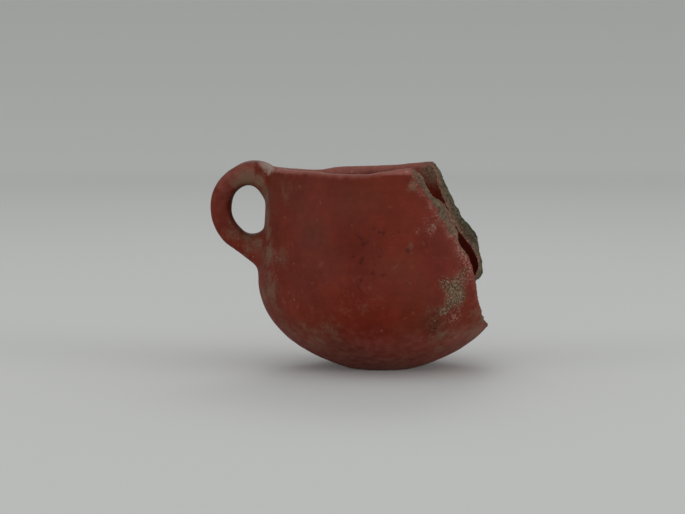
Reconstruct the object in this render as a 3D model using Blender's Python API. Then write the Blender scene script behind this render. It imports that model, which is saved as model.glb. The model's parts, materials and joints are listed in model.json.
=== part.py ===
"""Small round-bottomed clay cup with one loop handle, broken out on the side away from the handle.

Metres, +Z up. The origin is the middle of the flattened base. The handle is on -X and the break on +X, so a
viewer who looks along +Y sees the handle at the left. A break angle is measured from +X, positive towards the
viewer.
"""

import math

import bmesh
import bpy
from mathutils import Vector

# Bowl: outside curve, wall and uneven rim
BASE_RADIUS = 0.0110        # flattened spot that the cup stands on
BASE_SLOPE = 17.5           # degrees, how steeply the wall leaves the base
BASE_CURVE = 0.0175         # how far the curve follows that slope
BELLY_RADIUS = 0.0383
BELLY_HEIGHT = 0.0280
BELLY_CURVE_BELOW = 0.0136  # how far the curve stays upright under the belly
BELLY_CURVE_ABOVE = 0.0050  # and over it
RIM_INSET = 0.0025          # how much narrower the rim is than the belly
RIM_RADIUS = BELLY_RADIUS - RIM_INSET
RIM_HEIGHT = 0.0610         # top of the rim on the handle side
RIM_CURVE = 0.0210          # how far the curve stays upright under the rim
RIM_RISE = 0.0048           # how much higher the rim ran in the middle of the broken side
BASE_WALL = 0.0046
BELLY_WALL = 0.0036
RIM_WALL = 0.0030

# Handle: a rolled loop from just under the rim to the shoulder of the belly
HANDLE_REACH = 0.0172       # from the outside of the rim to the outermost point of the loop
HANDLE_THICKNESS = 0.0061   # in the plane of the loop, at its outermost point
HANDLE_WIDTH = 0.0085       # across that plane
HANDLE_END_THICKNESS = 0.0074
HANDLE_END_WIDTH = 0.0105
HANDLE_TOP_DROP = 0.0030    # from the rim down to the middle of the upper end
HANDLE_APEX_DROP = 0.0116   # from the rim down to the outermost point
HANDLE_FOOT_RAISE = 0.0054  # from the belly up to the middle of the lower end, on the shoulder
HANDLE_FOOT_HEIGHT = BELLY_HEIGHT + HANDLE_FOOT_RAISE
HANDLE_TOP_RISE = 35.0      # degrees, how steeply the loop climbs out of the rim
HANDLE_FOOT_RISE = 35.0     # and how steeply its lower end climbs out of the wall
HANDLE_TOP_CURVE = 0.0085
HANDLE_APEX_CURVE_ABOVE = 0.0085
HANDLE_APEX_CURVE_BELOW = 0.0076
HANDLE_FOOT_CURVE = 0.0086

# Lutings: wads of soft clay smoothed round both ends of the handle
LUTING_LENGTH = 0.0080      # along the handle, from the middle of the wall
LUTING_EDGE = 0.0007        # how far the free edge stands off the handle
UPPER_LUTING_OVER = 0.0016  # spread at the wall, on the outside of the loop
UPPER_LUTING_UNDER = 0.0050  # spread at the wall, on the inside of the loop
UPPER_LUTING_SIDE = 0.0030
LOWER_LUTING_OVER = 0.0008
LOWER_LUTING_UNDER = 0.0088
LOWER_LUTING_SIDE = 0.0034

# Break: corners of both broken edges, as height, angle at the outside and angle at the inside of the wall
FRONT_BREAK = (
    (0.0130, 12.0, 10.0),
    (0.0165, 32.0, 29.0),
    (0.0214, 40.5, 37.0),
    (0.0262, 43.7, 40.0),
    (0.0329, 45.6, 41.0),
    (0.0356, 46.7, 42.0),
    (0.0399, 51.5, 45.0),
    (0.0442, 56.8, 48.4),
    (0.0499, 62.8, 54.0),
    (0.0534, 66.9, 59.5),
    (0.0565, 71.0, 66.0),
    (0.0620, 77.0, 72.0),
)
BACK_BREAK = (
    (0.0130, 10.0, 8.0),
    (0.0155, 25.0, 22.0),
    (0.0210, 36.5, 34.0),
    (0.0247, 36.1, 33.0),
    (0.0268, 31.3, 29.0),
    (0.0328, 31.2, 27.5),
    (0.0385, 33.2, 32.5),
    (0.0408, 35.9, 37.0),
    (0.0457, 43.7, 46.0),
    (0.0550, 53.1, 55.0),
    (0.0603, 58.3, 60.0),
    (0.0623, 62.2, 63.5),
)

JOINT_GAP = 0.0003          # between the bowl, the handle and the lutings
CUTTER_MARGIN = 0.0030      # how far a cutter reaches past what it cuts

# Fineness of the curves
BOWL_SIDES = 72
LOWER_STEPS = 10
UPPER_STEPS = 8
LIP_STEPS = 6
HANDLE_SIDES = 18
HANDLE_STEPS = 15
LUTING_STEPS = 6
BREAK_COLUMNS = 12

# Fired clay under a red slip, as linear colours
BOWL_COLOUR = (0.092, 0.017, 0.010)
HANDLE_COLOUR = (0.098, 0.026, 0.018)
UPPER_LUTING_COLOUR = (0.150, 0.080, 0.058)
LOWER_LUTING_COLOUR = (0.100, 0.030, 0.021)
SLIP_ROUGHNESS = 0.55
BARE_CLAY_ROUGHNESS = 0.75


def clear_scene():
    """Remove every object that the file opens with."""
    for item in list(bpy.data.objects):
        bpy.data.objects.remove(item, do_unlink=True)


def clay(name, colour, roughness):
    """A plain fired-clay material."""
    material = bpy.data.materials.new(name)
    material.use_nodes = True
    shader = material.node_tree.nodes["Principled BSDF"]
    shader.inputs["Base Color"].default_value = (*colour, 1.0)
    shader.inputs["Roughness"].default_value = roughness
    shader.inputs["Metallic"].default_value = 0.0
    return material


def add_object(name, bm, material=None):
    """Turn a bmesh into an object; one without a material is a cutter and stays out of the model."""
    bmesh.ops.recalc_face_normals(bm, faces=bm.faces)
    mesh = bpy.data.meshes.new(name)
    bm.to_mesh(mesh)
    bm.free()
    item = bpy.data.objects.new(name, mesh)
    bpy.context.scene.collection.objects.link(item)
    if material is None:
        item.hide_render = True
        item.display_type = 'WIRE'
    else:
        mesh.materials.append(material)
        mesh.shade_smooth()
        mesh.set_sharp_from_angle(angle=math.radians(40))
    return item


def cut(item, cutter):
    """Take the cutter's volume away from an object."""
    modifier = item.modifiers.new(f"less {cutter.name}", 'BOOLEAN')
    modifier.operation = 'DIFFERENCE'
    modifier.solver = 'EXACT'
    modifier.object = cutter


def cubic(start, leave, arrive, end, steps):
    """Points along a cubic curve, both ends included."""
    points = []
    for step in range(steps + 1):
        t = step / steps
        point = (1 - t) ** 3 * start + 3 * (1 - t) ** 2 * t * leave
        points.append(point + 3 * (1 - t) * t ** 2 * arrive + t ** 3 * end)
    return points


def direction(degrees):
    """Unit vector in a plane, turned up from its first axis."""
    return Vector((math.cos(math.radians(degrees)), math.sin(math.radians(degrees))))


def tangents(points):
    """Unit directions along a row of points."""
    last = len(points) - 1
    return [(points[min(i + 1, last)] - points[max(i - 1, 0)]).normalized() for i in range(last + 1)]


def outside_curve():
    """Outside of the wall as (radius, height) points, from the edge of the base to where the lip turns over."""
    base = Vector((BASE_RADIUS, 0))
    belly = Vector((BELLY_RADIUS, BELLY_HEIGHT))
    rim = Vector((RIM_RADIUS, RIM_HEIGHT - RIM_WALL / 2))
    below = belly - Vector((0, BELLY_CURVE_BELOW))
    above = belly + Vector((0, BELLY_CURVE_ABOVE))
    lower = cubic(base, base + BASE_CURVE * direction(BASE_SLOPE), below, belly, LOWER_STEPS)
    upper = cubic(belly, above, rim - Vector((0, RIM_CURVE)), rim, UPPER_STEPS)
    return lower + upper[1:]


def lip_curve(turn, steps):
    """Half-round lip from the outside of the rim inwards, through the given turn in degrees."""
    centre = Vector((RIM_RADIUS - RIM_WALL / 2, RIM_HEIGHT - RIM_WALL / 2))
    return [centre + RIM_WALL / 2 * direction(turn * step / steps) for step in range(1, steps + 1)]


def wall_at(height):
    """Thickness of the wall at a height: from base to belly, then from belly to rim."""
    if height < BELLY_HEIGHT:
        share = height / BELLY_HEIGHT
        return BASE_WALL + (BELLY_WALL - BASE_WALL) * share
    share = (height - BELLY_HEIGHT) / (RIM_HEIGHT - BELLY_HEIGHT)
    return BELLY_WALL + (RIM_WALL - BELLY_WALL) * min(share, 1)


def offset_curve(points, distance):
    """Points moved square to a curve, outwards for a positive distance; a function gives it by height."""
    moved = []
    for point, along in zip(points, tangents(points)):
        amount = distance(point.y) if callable(distance) else distance
        moved.append(point + amount * Vector((along.y, -along.x)))
    return moved


def wall_point(height, depth):
    """(radius, height) of the place that lies a depth inside the wall's outside surface at a height."""
    curve = outside_curve()
    curve.append(curve[-1] + Vector((0, RIM_RISE + RIM_WALL + 2 * CUTTER_MARGIN)))
    turns = tangents(curve)
    for i in range(len(curve) - 1):
        if curve[i].y <= height <= curve[i + 1].y:
            share = (height - curve[i].y) / (curve[i + 1].y - curve[i].y)
            along = turns[i].lerp(turns[i + 1], share).normalized()
            return curve[i].lerp(curve[i + 1], share) - depth * Vector((along.y, -along.x))
    raise ValueError(f"no wall at height {height}")


def rim_lift(point):
    """How far the uneven rim raises a point of the wall; nothing below the belly or beside the handle."""
    share = (point.z - BELLY_HEIGHT) / (RIM_HEIGHT - BELLY_HEIGHT)
    share = min(max(share, 0), 1)
    radius = max(math.hypot(point.x, point.y), JOINT_GAP)
    facing = (1 + point.x / radius) / 2
    return RIM_RISE * facing ** 3 * share ** 2 * (3 - 2 * share)


def turned(profile):
    """Solid of revolution about Z from a profile that starts and ends on the axis, with the uneven rim."""
    bm = bmesh.new()
    points = [bm.verts.new((radius, 0, height)) for radius, height in profile]
    edges = [bm.edges.new(pair) for pair in zip(points, points[1:])]
    bmesh.ops.spin(
        bm, geom=points + edges, cent=(0, 0, 0), axis=(0, 0, 1), angle=math.tau, steps=BOWL_SIDES, use_merge=True
    )
    bmesh.ops.remove_doubles(bm, verts=bm.verts, dist=0.00001)
    for vert in bm.verts:
        vert.co.z += rim_lift(vert.co)
    return bm


def bowl():
    """Wall of the bowl, with its flat spot below and its rounded lip."""
    outside = outside_curve()
    inside = offset_curve(outside, lambda height: -wall_at(height))
    profile = [Vector((0, 0))] + outside + lip_curve(180, LIP_STEPS)[:-1]
    return turned(profile + inside[::-1] + [Vector((0, BASE_WALL))])


def bowl_space():
    """Filled bowl grown by the joint gap, which shapes the ends of what is pressed against the wall."""
    outside = outside_curve() + lip_curve(90, LIP_STEPS // 2)
    grown = offset_curve(outside, JOINT_GAP)
    return turned([Vector((0, -JOINT_GAP))] + grown + [Vector((0, grown[-1].y))])


def break_angles(corners, height):
    """Outside and inside angle of a broken edge at a height, straight between its corners."""
    for low, high in zip(corners, corners[1:]):
        if low[0] <= height <= high[0]:
            share = (height - low[0]) / (high[0] - low[0])
            return [low[i] + (high[i] - low[i]) * share for i in (1, 2)]
    return corners[-1][1:]


def break_space():
    """Block of air that the lost part of the wall leaves, thicker than the wall on both sides."""
    top = RIM_HEIGHT + RIM_RISE + CUTTER_MARGIN
    heights = sorted({corner[0] for corner in FRONT_BREAK + BACK_BREAK} | {top})
    sheets = []
    bm = bmesh.new()
    for side in (0, 1):
        rows = []
        for height in heights:
            wall = wall_at(height)
            depth = (-CUTTER_MARGIN, wall + CUTTER_MARGIN)[side]
            radius, level = wall_point(height, depth)
            ends = []
            for corners, sign in ((FRONT_BREAK, -1), (BACK_BREAK, 1)):
                outside, inside = break_angles(corners, height)
                ends.append(sign * (outside + (inside - outside) * depth / wall))
            row = []
            for column in range(BREAK_COLUMNS + 1):
                turn = math.radians(ends[0] + (ends[1] - ends[0]) * column / BREAK_COLUMNS)
                row.append(bm.verts.new((radius * math.cos(turn), radius * math.sin(turn), level)))
            rows.append(row)
        sheets.append(rows)
        for low, high in zip(rows, rows[1:]):
            for i in range(BREAK_COLUMNS):
                bm.faces.new((low[i], low[i + 1], high[i + 1], high[i]))
    borders = [[rows[0] for rows in sheets], [rows[-1] for rows in sheets]]
    borders += [[[row[end] for row in rows] for rows in sheets] for end in (0, -1)]
    for outer, inner in borders:
        for i in range(len(outer) - 1):
            bm.faces.new((outer[i], outer[i + 1], inner[i + 1], inner[i]))
    return bm


def handle_path():
    """Middle line of the handle in the XZ plane, from the middle of the rim's wall to that of the shoulder's."""
    top = Vector((RIM_WALL / 2 - RIM_RADIUS, RIM_HEIGHT - HANDLE_TOP_DROP))
    apex = Vector((HANDLE_THICKNESS / 2 - HANDLE_REACH - RIM_RADIUS, RIM_HEIGHT - HANDLE_APEX_DROP))
    foot_radius = wall_point(HANDLE_FOOT_HEIGHT, wall_at(HANDLE_FOOT_HEIGHT) / 2).x
    foot = Vector((-foot_radius, HANDLE_FOOT_HEIGHT))
    leave_top = top + HANDLE_TOP_CURVE * direction(180 - HANDLE_TOP_RISE)
    leave_foot = foot + HANDLE_FOOT_CURVE * direction(180 - HANDLE_FOOT_RISE)
    above = apex + Vector((0, HANDLE_APEX_CURVE_ABOVE))
    below = apex - Vector((0, HANDLE_APEX_CURVE_BELOW))
    upper = cubic(top, leave_top, above, apex, HANDLE_STEPS)
    lower = cubic(apex, below, leave_foot, foot, HANDLE_STEPS)
    return upper + lower[1:]


def lengths_along(path):
    """Distance of each point of a path from its start."""
    lengths = [0.0]
    for start, end in zip(path, path[1:]):
        lengths.append(lengths[-1] + (end - start).length)
    return lengths


def handle_half_sizes(share):
    """Half thickness and half width of the handle at a share of its length; both ends swell."""
    swell = (2 * share - 1) ** 2
    thickness = HANDLE_THICKNESS + (HANDLE_END_THICKNESS - HANDLE_THICKNESS) * swell
    width = HANDLE_WIDTH + (HANDLE_END_WIDTH - HANDLE_WIDTH) * swell
    return thickness / 2, width / 2


def swept(stations):
    """Closed solid through oval rings; a station is a point, a tangent and the half sizes over, under and aside."""
    bm = bmesh.new()
    rings = []
    for point, along, over, under, aside in stations:
        outward = Vector((along.y, -along.x))
        ring = []
        for side in range(HANDLE_SIDES):
            turn = math.tau * side / HANDLE_SIDES
            reach = (over if math.cos(turn) > 0 else under) * math.cos(turn)
            place = point + reach * outward
            ring.append(bm.verts.new((place.x, aside * math.sin(turn), place.y)))
        rings.append(ring)
    for low, high in zip(rings, rings[1:]):
        for i in range(HANDLE_SIDES):
            j = (i + 1) % HANDLE_SIDES
            bm.faces.new((low[i], low[j], high[j], high[i]))
    bm.faces.new(rings[0][::-1])
    bm.faces.new(rings[-1])
    return bm


def handle_solid(grow, overrun):
    """The handle grown on all sides, and lengthened at both ends by an overrun."""
    path = handle_path()
    lengths = lengths_along(path)
    stations = []
    for point, along, length in zip(path, tangents(path), lengths):
        thick, wide = handle_half_sizes(length / lengths[-1])
        stations.append([point, along, thick + grow, thick + grow, wide + grow])
    stations[0][0] = path[0] - overrun * stations[0][1]
    stations[-1][0] = path[-1] + overrun * stations[-1][1]
    return swept(stations)


def place_along(path, distance):
    """Point and tangent at a distance along a path."""
    lengths = lengths_along(path)
    turns = tangents(path)
    for i in range(len(path) - 1):
        if lengths[i] <= distance <= lengths[i + 1]:
            share = (distance - lengths[i]) / (lengths[i + 1] - lengths[i])
            return path[i].lerp(path[i + 1], share), turns[i].lerp(turns[i + 1], share).normalized()
    return path[-1], turns[-1]


def luting(from_start, over, under, aside):
    """Collar of clay round one end of the handle, which turns and spreads in a hollow curve along the wall."""
    path = handle_path()
    length = lengths_along(path)[-1]
    square = Vector((-1 if from_start else 1, 0))
    stations = []
    for step in range(LUTING_STEPS + 1):
        away = LUTING_LENGTH * step / LUTING_STEPS
        distance = away if from_start else length - away
        point, along = place_along(path, distance)
        thick, wide = handle_half_sizes(distance / length)
        near = (1 - step / LUTING_STEPS) ** 2
        along = along.lerp(square, near).normalized()
        spreads = [LUTING_EDGE + max(spread - LUTING_EDGE, 0) * near for spread in (over, under, aside)]
        stations.append((point, along, thick + spreads[0], thick + spreads[1], wide + spreads[2]))
    return swept(stations)


def build():
    """Model the four pieces of the cup."""
    clear_scene()
    wall_cutter = add_object("bowl_space", bowl_space())
    handle_cutter = add_object("handle_space", handle_solid(JOINT_GAP, CUTTER_MARGIN))
    break_cutter = add_object("break_space", break_space())

    body = add_object("cup_body", bowl(), clay("slipped_bowl", BOWL_COLOUR, SLIP_ROUGHNESS))
    cut(body, break_cutter)

    handle = add_object("handle", handle_solid(0, 0), clay("slipped_handle", HANDLE_COLOUR, SLIP_ROUGHNESS))
    cut(handle, wall_cutter)

    upper_form = luting(True, UPPER_LUTING_OVER, UPPER_LUTING_UNDER, UPPER_LUTING_SIDE)
    upper_clay = clay("worn_upper_luting", UPPER_LUTING_COLOUR, BARE_CLAY_ROUGHNESS)
    upper = add_object("upper_luting", upper_form, upper_clay)
    lower_form = luting(False, LOWER_LUTING_OVER, LOWER_LUTING_UNDER, LOWER_LUTING_SIDE)
    lower_clay = clay("slipped_lower_luting", LOWER_LUTING_COLOUR, SLIP_ROUGHNESS)
    lower = add_object("lower_luting", lower_form, lower_clay)
    for wad in (upper, lower):
        cut(wad, handle_cutter)
        cut(wad, wall_cutter)


build()
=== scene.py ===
"""Broken red-slipped clay cup with a loop handle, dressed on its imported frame.

Metres, +Z up. The origin is the middle of the flattened base. The handle is on -X and the break on +X, so
the camera, which looks along +Y, sees the handle at the left. An angle on the wall is in degrees from +X,
positive towards the camera.
"""

import json
import math
from functools import partial

import bmesh
import bpy
import numpy as np
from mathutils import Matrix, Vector, noise
from mathutils.kdtree import KDTree

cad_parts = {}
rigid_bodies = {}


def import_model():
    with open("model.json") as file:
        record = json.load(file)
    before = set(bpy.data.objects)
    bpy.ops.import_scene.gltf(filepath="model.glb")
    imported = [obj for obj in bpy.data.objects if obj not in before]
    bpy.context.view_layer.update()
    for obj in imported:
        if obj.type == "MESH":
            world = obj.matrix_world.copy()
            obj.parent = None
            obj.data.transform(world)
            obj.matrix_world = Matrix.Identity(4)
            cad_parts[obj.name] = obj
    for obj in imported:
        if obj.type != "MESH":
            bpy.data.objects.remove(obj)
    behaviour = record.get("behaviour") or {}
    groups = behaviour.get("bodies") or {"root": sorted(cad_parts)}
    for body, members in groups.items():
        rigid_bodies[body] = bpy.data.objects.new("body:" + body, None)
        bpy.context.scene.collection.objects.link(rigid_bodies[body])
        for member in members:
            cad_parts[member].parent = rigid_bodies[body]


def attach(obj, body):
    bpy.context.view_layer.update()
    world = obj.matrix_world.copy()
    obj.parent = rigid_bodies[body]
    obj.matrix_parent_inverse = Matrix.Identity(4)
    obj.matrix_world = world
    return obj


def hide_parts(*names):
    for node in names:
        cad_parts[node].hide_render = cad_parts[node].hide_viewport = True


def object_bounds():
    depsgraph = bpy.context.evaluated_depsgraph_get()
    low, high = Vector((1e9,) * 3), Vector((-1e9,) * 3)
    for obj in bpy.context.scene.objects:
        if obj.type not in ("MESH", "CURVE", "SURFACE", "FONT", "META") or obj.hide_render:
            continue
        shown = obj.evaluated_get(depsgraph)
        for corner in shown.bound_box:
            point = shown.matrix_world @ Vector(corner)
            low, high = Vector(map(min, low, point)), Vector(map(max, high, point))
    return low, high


for item in list(bpy.data.objects):
    bpy.data.objects.remove(item, do_unlink=True)
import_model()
cad_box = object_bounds()

MM = 0.001

# Bowl, as in the CAD model
BASE_RADIUS = 0.0110
BASE_SLOPE = 17.5
BASE_CURVE = 0.0175
BELLY_RADIUS = 0.0383
BELLY_HEIGHT = 0.0280
BELLY_CURVE_BELOW = 0.0136
BELLY_CURVE_ABOVE = 0.0050
RIM_RADIUS = 0.0358
RIM_HEIGHT = 0.0610
RIM_CURVE = 0.0210
RIM_RISE = 0.0048
BASE_WALL = 0.0046
BELLY_WALL = 0.0036
RIM_WALL = 0.0030

# Handle, as in the CAD model within half a millimetre
HANDLE_REACH = 0.01728
HANDLE_THICKNESS = 0.0065
HANDLE_TOP_DROP = 0.0030
HANDLE_APEX_DROP = 0.0116
HANDLE_FOOT_HEIGHT = 0.0340
HANDLE_TOP_RISE = 35.0
HANDLE_FOOT_RISE = 30.0
HANDLE_TOP_CURVE = 0.0085
HANDLE_APEX_CURVE_ABOVE = 0.0088
HANDLE_APEX_CURVE_BELOW = 0.0076
HANDLE_FOOT_CURVE = 0.0086

# Broken edges, as in the CAD model with more corners: height, angle at the outside and at the inside
FRONT_BREAK = (
    (0.0130, 12.0, 10.0), (0.0167, 32.9, 30.5), (0.0191, 36.4, 33.5), (0.0218, 40.4, 37.0),
    (0.0243, 42.5, 38.5), (0.0268, 44.0, 39.8), (0.0309, 45.4, 41.2), (0.0346, 47.5, 43.6),
    (0.0361, 48.3, 44.6), (0.0378, 49.4, 46.2), (0.0393, 51.8, 48.2), (0.0410, 53.6, 49.4),
    (0.0425, 55.5, 49.0), (0.0438, 57.7, 48.8), (0.0471, 61.4, 51.2), (0.0504, 64.5, 55.4),
    (0.0520, 66.4, 57.6), (0.0546, 70.0, 64.4), (0.0572, 72.8, 68.4), (0.0600, 75.2, 70.4),
    (0.0614, 76.8, 72.6), (0.0626, 79.0, 76.4),
)
BACK_BREAK = (
    (0.0130, 10.0, 8.0), (0.0155, 25.0, 22.0), (0.0210, 36.5, 34.0), (0.0247, 36.3, 33.2),
    (0.0258, 33.6, 31.4), (0.0271, 32.2, 29.8), (0.0304, 32.2, 27.0), (0.0329, 32.4, 27.5),
    (0.0348, 32.9, 29.7), (0.0371, 33.0, 33.4), (0.0387, 33.6, 37.2), (0.0400, 35.1, 40.3),
    (0.0414, 37.6, 43.4), (0.0425, 40.5, 44.6), (0.0457, 44.6, 47.4), (0.0492, 48.8, 51.2),
    (0.0550, 53.8, 55.4), (0.0578, 56.2, 57.0), (0.0603, 58.4, 59.6), (0.0623, 61.4, 62.4),
)
BREAK_HOLD = 0.8            # degrees by which the rough edge stays inside the lost part
BREAK_HOLD_RISE = (0.018, 0.027)    # heights between which that starts
BREAK_CHIP = 1.8            # degrees that the largest chips take off the outer edge
BREAK_CHIP_SIZE = 0.0028
BREAK_CHIP_LEAST = 0.05     # smaller chips are left out
BREAK_CHIP_APART = 7.0      # in the noise, so that the two edges chip in different places
BREAK_CHIP_DEPTH = (0.02, 0.16)     # shares of the wall between which a chip ends
BREAK_ROUGHNESS = ((0.0060, 0.00045), (0.0021, 0.00030), (0.0009, 0.00021))     # size and height
# Three places far apart in one noise, so that each axis gets a pattern of its own, the same in each run
ROUGHNESS_PLACES = (Vector((3.7, 51.1, 19.4)), Vector((-12.9, -33.4, 78.6)), Vector((48.2, 70.5, -6.8)))

# What the hand leaves in the clay
GROOVE_DROP = 0.0027        # faint groove under the lip, below the top of the rim
GROOVE_WIDTH = 0.0009
GROOVE_DEPTH = 0.0002
LUMP_FREE = (0.010, 0.024)  # radii between which the lumps begin
BURNISH = ((0.0052, 0.00007), (0.0019, 0.00003))   # size and height of the marks that rubbing leaves
COAT_DEPTH = 0.00016        # how deep the bare patches lie

# Wavy line of the rim: angle, and height in mm
RIM_LINE = (
    (0, 63.8), (-60, 62.9), (-71, 62.4), (-87, 61.6), (-98, 61.4), (-109, 61.3), (-119, 60.8), (-127, 60.4),
    (-138, 60.75), (-160, 61.7), (-180, 62.5), (163, 62.75), (152, 62.2), (142, 61.85),
    (125, 61.55), (111, 61.0), (101, 61.0), (93, 61.6), (85, 62.2), (76, 62.9),
)
RIM_LOW = 0.0590
RIM_SPAN = 0.0050

# Inputs of the geometry trees. A smear is how far an end of the handle is smeared out along the wall, over,
# under and beside the roll, and its fall is how fast that thins out: 1 is a cone, more is a hollow curve
BOWL_SIZES = {
    "Sides": 301,
    "Steps": 230,
    "Belly Height": BELLY_HEIGHT,
    "Rim Height": RIM_HEIGHT,
    "Rim Low": RIM_LOW,
    "Rim Span": RIM_SPAN,
    "Lump Size": 0.0240,        # slow unevenness of the hand-built wall
    "Lump Height": 0.0005,
}
HANDLE_SIZES = {
    "Sides": 32,
    "Steps": 70,
    "Thickness": HANDLE_THICKNESS,
    "Width": 0.0085,
    "Swell": 0.22,              # how much thicker both ends are
    "Squareness": 3.4,          # 2 is an oval section, more has flatter sides
    "Lump Size": 0.0065,
    "Lump Height": 0.0005,
    "Loop Centre": (-0.0415, 0.0, 0.0485),
    "Smear Hold": 0.0018,       # depth in the wall at which a smear begins
    "Upper Smear": (0.0019, 0.0036, 0.0015),
    "Upper Fall": (1.1, 4.0, 1.4),
    "Upper Length": 0.0110,
    "Lower Smear": (0.0002, 0.0155, 0.0020),
    "Lower Fall": (2.2, 2.0, 2.2),
    "Lower Length": 0.0100,
}
GRIT_SIZES = {
    "Field": "grit",
    "Density": 5.0e6,           # grains to a square metre where the field is full
    "Smallest": 0.00009,
    "Largest": 0.00025,
    "Seed": 11,
}

# Where a wet finger has smoothed the clay: middle, reach and passes
SMOOTHED_JOINTS = (
    ((-0.0370, 0, 0.0570), 0.0100, 26),
    ((-0.0395, 0, 0.0355), 0.0105, 34),
    ((-0.0335, -0.0040, 0.0618), 0.0104, 56),
)
SMOOTHED_CORE = 0.45        # share of the reach that gets the full smoothing
SMOOTHED_SHARE = 0.5        # of the way to the neighbours in each pass

# Fineness
VOXEL = 0.00064
BREAK_STEP = 0.00036
BREAK_SLOPE_RISE = 0.0004   # height over which the slope of an edge is measured
BREAK_COLUMNS = 150
BREAK_LAYERS = 13
WALL_REACH = 0.036          # radius at which a turn along the break is measured
BREAK_SHARES = (-0.10, 1.10)    # how far the rough face runs, as shares of the wall
CUTTER_MARGIN = 0.0030
SHARP_ANGLE = 40.0
SKIN_PASSES = 6             # rounds that take the voxel steps out, each a push in and a push out
SKIN_PUSHES = (0.50, -0.52)
MERGE = 0.00001


# Helpers

MATH = 'ShaderNodeMath'
NOISE = 'ShaderNodeTexNoise'
VECTOR_MATH = 'ShaderNodeVectorMath'
SOCKETS = {
    int: 'NodeSocketInt',
    float: 'NodeSocketFloat',
    tuple: 'NodeSocketVector',
    str: 'NodeSocketString',
    bpy.types.Material: 'NodeSocketMaterial',
}


def linear(code):
    """Linear colour from an sRGB hex value."""
    parts = [int(code[i:i + 2], 16) / 255 for i in (1, 3, 5)]
    return (*[p / 12.92 if p <= 0.04045 else ((p + 0.055) / 1.055) ** 2.4 for p in parts], 1.0)


def per_mm(size):
    """Texture scale that gives a pattern of this size in millimetres."""
    return 1 / (size * MM)


def fill(made, sockets):
    """Fill a node's sockets, by name or number or else in order, with values or links."""
    for key, value in sockets.items() if isinstance(sockets, dict) else enumerate(sockets):
        if isinstance(value, bpy.types.NodeSocket):
            made.id_data.links.new(value, made.inputs[key])
        else:
            made.inputs[key].default_value = value


def node(tree, kind, sockets=(), out=0, stops=(), **settings):
    """Add a node with its settings, sockets and colour stops, and return one of its outputs."""
    made = tree.nodes.new(kind)
    for key, value in settings.items():
        setattr(made, key, value)
    fill(made, sockets)
    for _ in stops[2:]:
        made.color_ramp.elements.new(0.5)
    for i, (position, code) in enumerate(stops):
        made.color_ramp.elements[i].position = position
        made.color_ramp.elements[i].color = linear(code)
    return made.outputs[out] if made.outputs else made


def new_tree(name, sizes):
    """Geometry tree with a named input for each size; returns it, its own node function and its inputs."""
    tree = bpy.data.node_groups.new(name, 'GeometryNodeTree')
    for way in ('INPUT', 'OUTPUT'):
        tree.interface.new_socket("Geometry", in_out=way, socket_type='NodeSocketGeometry')
    for label, size in sizes.items():
        tree.interface.new_socket(label, in_out='INPUT', socket_type=SOCKETS[type(size)])
    return tree, partial(node, tree), tree.nodes.new('NodeGroupInput').outputs


def end_tree(add, shape, material):
    """End a geometry tree in real geometry with its material."""
    real = add('GeometryNodeRealizeInstances', {"Geometry": shape})
    painted = add('GeometryNodeSetMaterial', {"Geometry": real, "Material": material})
    add('NodeGroupOutput', (painted,))


def finished_mesh(item):
    """Plain mesh of an object with its modifiers applied."""
    graph = bpy.context.evaluated_depsgraph_get()
    return bpy.data.meshes.new_from_object(item.evaluated_get(graph), depsgraph=graph)


def add_object(name, mesh):
    """Object at the origin, linked to the scene."""
    item = bpy.data.objects.new(name, mesh)
    bpy.context.scene.collection.objects.link(item)
    return item


def discard(*items):
    """Remove helper objects."""
    for item in items:
        bpy.data.objects.remove(item, do_unlink=True)


def grown(name, source, make_tree, sizes):
    """Plain mesh that a geometry tree with these sizes makes from a source mesh."""
    item = add_object(name, source)
    modifier = item.modifiers.new(name, 'NODES')
    modifier.node_group = make_tree(sizes)
    for socket in modifier.node_group.interface.items_tree:
        if socket.in_out == 'INPUT' and socket.name in sizes:
            modifier[socket.identifier] = sizes[socket.name]
    mesh = finished_mesh(item)
    discard(item)
    return mesh


def line_mesh(name, points):
    """Mesh of edges through a row of points."""
    mesh = bpy.data.meshes.new(name)
    mesh.from_pydata(points, [(i, i + 1) for i in range(len(points) - 1)], [])
    return mesh


def coordinates(mesh):
    """Vertex positions as an array."""
    flat = np.empty(len(mesh.vertices) * 3)
    mesh.vertices.foreach_get("co", flat)
    return flat.reshape(-1, 3)


def set_coordinates(mesh, points):
    """Write vertex positions back."""
    mesh.vertices.foreach_set("co", points.ravel())
    mesh.update()


def smoothstep(low, high, value):
    """Soft step from 0 at low to 1 at high."""
    share = np.clip((value - low) / (high - low), 0, 1)
    return share * share * (3 - 2 * share)


# Lines that shape the bowl and the handle

def direction(degrees):
    """Unit vector in a plane, turned up from its first axis."""
    return Vector((math.cos(math.radians(degrees)), math.sin(math.radians(degrees))))


def cubic(start, leave, arrive, end, steps):
    """Points along a cubic curve, both ends included."""
    points = []
    for step in range(steps + 1):
        t = step / steps
        point = (1 - t) ** 3 * start + 3 * (1 - t) ** 2 * t * leave
        points.append(point + 3 * (1 - t) * t ** 2 * arrive + t ** 3 * end)
    return points


def outside_curve():
    """Outside of the wall as (radius, height) points, from the edge of the base to the turn of the lip."""
    base = Vector((BASE_RADIUS, 0))
    belly = Vector((BELLY_RADIUS, BELLY_HEIGHT))
    rim = Vector((RIM_RADIUS, RIM_HEIGHT - RIM_WALL / 2))
    below = belly - Vector((0, BELLY_CURVE_BELOW))
    above = belly + Vector((0, BELLY_CURVE_ABOVE))
    lower = cubic(base, base + BASE_CURVE * direction(BASE_SLOPE), below, belly, 60)
    upper = cubic(belly, above, rim - Vector((0, RIM_CURVE)), rim, 60)
    return np.array([tuple(point) for point in lower + upper[1:]])


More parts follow.
